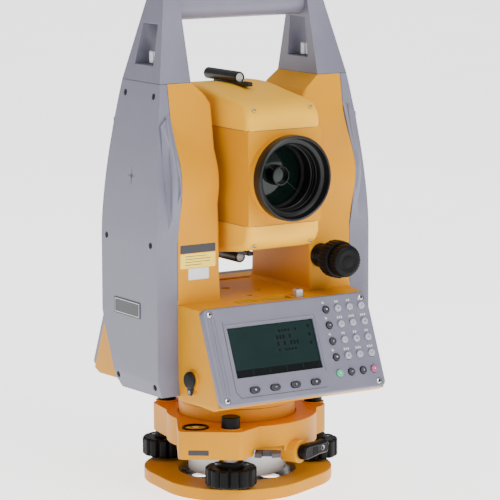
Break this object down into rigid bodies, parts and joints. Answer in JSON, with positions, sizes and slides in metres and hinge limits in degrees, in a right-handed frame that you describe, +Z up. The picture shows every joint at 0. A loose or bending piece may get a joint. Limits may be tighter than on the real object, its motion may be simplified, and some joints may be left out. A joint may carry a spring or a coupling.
{
  "type": "surveying total station",
  "caption": "Surveying total station: tilting telescope in a U-shaped yoke with a carrying handle, sloped keyboards front and rear, on a levelling base with foot screws and a tripod thread.",
  "frame": {"origin": "centre of the tripod thread at the underside of the base plate, where the instrument stands on the tripod head", "axes": "+Z up along the vertical turning axis; -Y towards the objective and the front keyboard; +X to the right seen from the front keyboard, along the telescope's turning axis"},
  "size_m": [0.1845, 0.1644, 0.329],
  "materials": {
    "yellow_casting": "orange-yellow semi-gloss paint on cast aluminium",
    "pale_yellow_cover": "moulded pale yellow plastic",
    "grey_shell": "fine textured blue-grey plastic",
    "black_plastic": "black moulded plastic",
    "black_metal": "black anodised aluminium",
    "foot_screw": "black knob on a plain steel spindle",
    "rubber": "soft black rubber",
    "steel": "turned steel",
    "drum": "pale satin metal",
    "glass": "coated optical glass",
    "display": "clear window over a dark grey-green display",
    "board": "green circuit board",
    "dark_key": "dark rubber keys",
    "pale_key": "pale grey rubber keys",
    "green_key": "green rubber key",
    "red_key": "dark red rubber key"
  },
  "bodies": {
    "base": {"base_plate": "yellow_casting", "spring_plate": "steel"},
    "foot_screw_a": {"foot_screw_1": "foot_screw"},
    "foot_screw_b": {"foot_screw_2": "foot_screw"},
    "foot_screw_c": {"foot_screw_3": "foot_screw"},
    "tribrach": {"tribrach_body": "yellow_casting", "centre_drum": "drum", "screw_caps": "black_plastic", "vial_cup": "black_plastic", "vial_glass": "glass", "centring_flange": "yellow_casting", "axis_bush": "steel", "horizontal_circle": "glass"},
    "locking_ring": {"clamp_ring": "steel"},
    "lever": {"lock_lever": "black_plastic"},
    "alidade": {"alidade_frame": "yellow_casting", "axis_spindle": "steel", "left_cover": "grey_shell", "right_cover": "grey_shell", "housing_screws": "black_metal", "carrying_handle": "grey_shell", "main_board": "board", "trunnion_bearings": "steel", "plate_vial": "glass", "plummet_tube": "black_plastic", "front_housing": "yellow_casting", "rear_housing": "yellow_casting", "front_panel": "grey_shell", "rear_panel": "grey_shell", "displays": "display", "key_boards": "board"},
    "handle_screw_l": {"handle_screw_left": "steel"},
    "handle_screw_r": {"handle_screw_right": "steel"},
    "battery": {"battery_pack": "grey_shell"},
    "latch": {"battery_latch": "black_plastic"},
    "port_flap": {"port_cap": "rubber"},
    "plummet_focus": {"plummet_eyepiece": "black_plastic"},
    "keys_front_function": {"front_function_keys": "dark_key"},
    "keys_front_arrow": {"front_arrow_keys": "dark_key"},
    "keys_front_number": {"front_number_keys": "pale_key"},
    "keys_front_enter": {"front_enter_key": "green_key"},
    "keys_front_power": {"front_power_key": "red_key"},
    "keys_rear_function": {"rear_function_keys": "dark_key"},
    "keys_rear_pad": {"rear_pad_keys": "pale_key"},
    "v_clamp": {"vertical_clamp_ring": "black_plastic"},
    "v_tangent": {"vertical_tangent_knob": "black_plastic"},
    "h_clamp": {"horizontal_clamp_ring": "black_plastic"},
    "h_tangent": {"horizontal_tangent_knob": "black_plastic"},
    "telescope": {"telescope_housing": "yellow_casting", "telescope_top_cover": "pale_yellow_cover", "telescope_bottom_cover": "pale_yellow_cover", "trunnion_shafts": "steel", "vertical_circle": "glass", "objective_ring": "black_metal", "objective_lens": "glass", "inner_barrel": "black_metal", "collimators": "black_metal"},
    "focusing_ring": {"focus_ring": "black_plastic"},
    "focus_cell": {"focus_lens_cell": "glass"},
    "eyepiece_ring": {"eyepiece": "black_plastic"}
  },
  "joints": [
    {"name": "foot_screw_a_turn", "type": "hinge", "parent": "base", "child": "foot_screw_a", "pos_m": [-0.03292, -0.0453, 0.016], "axis": [0, 0, 1], "range_deg": [-1190, 1190]},
    {"name": "foot_screw_b_turn", "type": "hinge", "parent": "base", "child": "foot_screw_b", "pos_m": [0.05569, -0.00585, 0.016], "axis": [0, 0, 1], "range_deg": [-1190, 1190]},
    {"name": "foot_screw_c_turn", "type": "hinge", "parent": "base", "child": "foot_screw_c", "pos_m": [-0.02278, 0.05116, 0.016], "axis": [0, 0, 1], "range_deg": [-1190, 1190]},
    {"name": "tribrach_lift", "type": "slide", "parent": "base", "child": "tribrach", "axis": [0, 0, 1], "range_m": [-0.00247, 0.00247]},
    {"name": "lock_lever_turn", "type": "hinge", "parent": "tribrach", "child": "lever", "pos_m": [0.01451, -0.05594, 0.027], "axis": [0.4067, -0.9135, 0], "range_deg": [0, 180]},
    {"name": "locking_ring_turn", "type": "hinge", "parent": "tribrach", "child": "locking_ring", "pos_m": [0, 0, 0.032], "axis": [0, 0, 1], "range_deg": [0, 12.1]},
    {"name": "alidade_turn", "type": "hinge", "parent": "tribrach", "child": "alidade", "pos_m": [0, 0, 0.05], "axis": [0, 0, 1], "continuous": true},
    {"name": "telescope_turn", "type": "hinge", "parent": "alidade", "child": "telescope", "pos_m": [0, 0, 0.206], "axis": [1, 0, 0], "continuous": true},
    {"name": "handle_screw_left_turn", "type": "hinge", "parent": "alidade", "child": "handle_screw_l", "pos_m": [-0.057, 0, 0.27], "axis": [0, 0, 1], "range_deg": [-720, 720]},
    {"name": "handle_screw_right_turn", "type": "hinge", "parent": "alidade", "child": "handle_screw_r", "pos_m": [0.057, 0, 0.27], "axis": [0, 0, 1], "range_deg": [-720, 720]},
    {"name": "battery_slide", "type": "slide", "parent": "alidade", "child": "battery", "axis": [1, 0, 0], "range_m": [0, 0.03]},
    {"name": "battery_latch_slide", "type": "slide", "parent": "alidade", "child": "latch", "axis": [0, 0, 1], "range_m": [0, 0.003], "stiffness_N_per_m": 300, "springref_m": -0.001},
    {"name": "port_cap_turn", "type": "hinge", "parent": "alidade", "child": "port_flap", "pos_m": [-0.0661, -0.051, 0.0734], "axis": [0, -1, 0], "range_deg": [0, 110]},
    {"name": "plummet_eyepiece_turn", "type": "hinge", "parent": "alidade", "child": "plummet_focus", "pos_m": [0, 0.061, 0.0612], "axis": [0, 1, 0], "range_deg": [-180, 180]},
    {"name": "front_function_press", "type": "slide", "parent": "alidade", "child": "keys_front_function", "axis": [0, 0.9239, -0.3827], "range_m": [0, 0.001], "stiffness_N_per_m": 600, "springref_m": -0.0006},
    {"name": "front_arrow_press", "type": "slide", "parent": "alidade", "child": "keys_front_arrow", "axis": [0, 0.9239, -0.3827], "range_m": [0, 0.001], "stiffness_N_per_m": 600, "springref_m": -0.0006},
    {"name": "front_number_press", "type": "slide", "parent": "alidade", "child": "keys_front_number", "axis": [0, 0.9239, -0.3827], "range_m": [0, 0.001], "stiffness_N_per_m": 600, "springref_m": -0.0006},
    {"name": "front_enter_press", "type": "slide", "parent": "alidade", "child": "keys_front_enter", "axis": [0, 0.9239, -0.3827], "range_m": [0, 0.001], "stiffness_N_per_m": 600, "springref_m": -0.0006},
    {"name": "front_power_press", "type": "slide", "parent": "alidade", "child": "keys_front_power", "axis": [0, 0.9239, -0.3827], "range_m": [0, 0.001], "stiffness_N_per_m": 600, "springref_m": -0.0006},
    {"name": "rear_function_press", "type": "slide", "parent": "alidade", "child": "keys_rear_function", "axis": [0, -0.9239, -0.3827], "range_m": [0, 0.001], "stiffness_N_per_m": 600, "springref_m": -0.0006},
    {"name": "rear_pad_press", "type": "slide", "parent": "alidade", "child": "keys_rear_pad", "axis": [0, -0.9239, -0.3827], "range_m": [0, 0.001], "stiffness_N_per_m": 600, "springref_m": -0.0006},
    {"name": "vertical_clamp_turn", "type": "hinge", "parent": "alidade", "child": "v_clamp", "pos_m": [0.042, -0.04, 0.1495], "axis": [0, -1, 0], "range_deg": [0, 60]},
    {"name": "vertical_tangent_turn", "type": "hinge", "parent": "alidade", "child": "v_tangent", "pos_m": [0.042, -0.06, 0.1495], "axis": [0, -1, 0], "range_deg": [-1440, 1440]},
    {"name": "horizontal_clamp_turn", "type": "hinge", "parent": "alidade", "child": "h_clamp", "pos_m": [0.085, 0.006, 0.086], "axis": [1, 0, 0], "range_deg": [0, 60]},
    {"name": "horizontal_tangent_turn", "type": "hinge", "parent": "alidade", "child": "h_tangent", "pos_m": [0.1, 0.006, 0.086], "axis": [1, 0, 0], "range_deg": [-1440, 1440]},
    {"name": "focusing_ring_turn", "type": "hinge", "parent": "telescope", "child": "focusing_ring", "pos_m": [0, 0.057, 0.206], "axis": [0, 1, 0], "range_deg": [-180, 180]},
    {"name": "focus_cell_slide", "type": "slide", "parent": "telescope", "child": "focus_cell", "axis": [0, 1, 0], "range_m": [-0.015, 0.015]},
    {"name": "eyepiece_turn", "type": "hinge", "parent": "telescope", "child": "eyepiece_ring", "pos_m": [0, 0.07, 0.206], "axis": [0, 1, 0], "range_deg": [-180, 180]}
  ],
  "couplings": [
    {"joint": "foot_screw_a_turn", "follows": "tribrach_lift", "rad_per_m": -8377.6},
    {"joint": "foot_screw_b_turn", "follows": "tribrach_lift", "rad_per_m": -8377.6},
    {"joint": "foot_screw_c_turn", "follows": "tribrach_lift", "rad_per_m": -8377.6},
    {"joint": "locking_ring_turn", "follows": "lock_lever_turn", "ratio": 0.066667},
    {"joint": "focusing_ring_turn", "follows": "focus_cell_slide", "rad_per_m": 209.44}
  ]
}
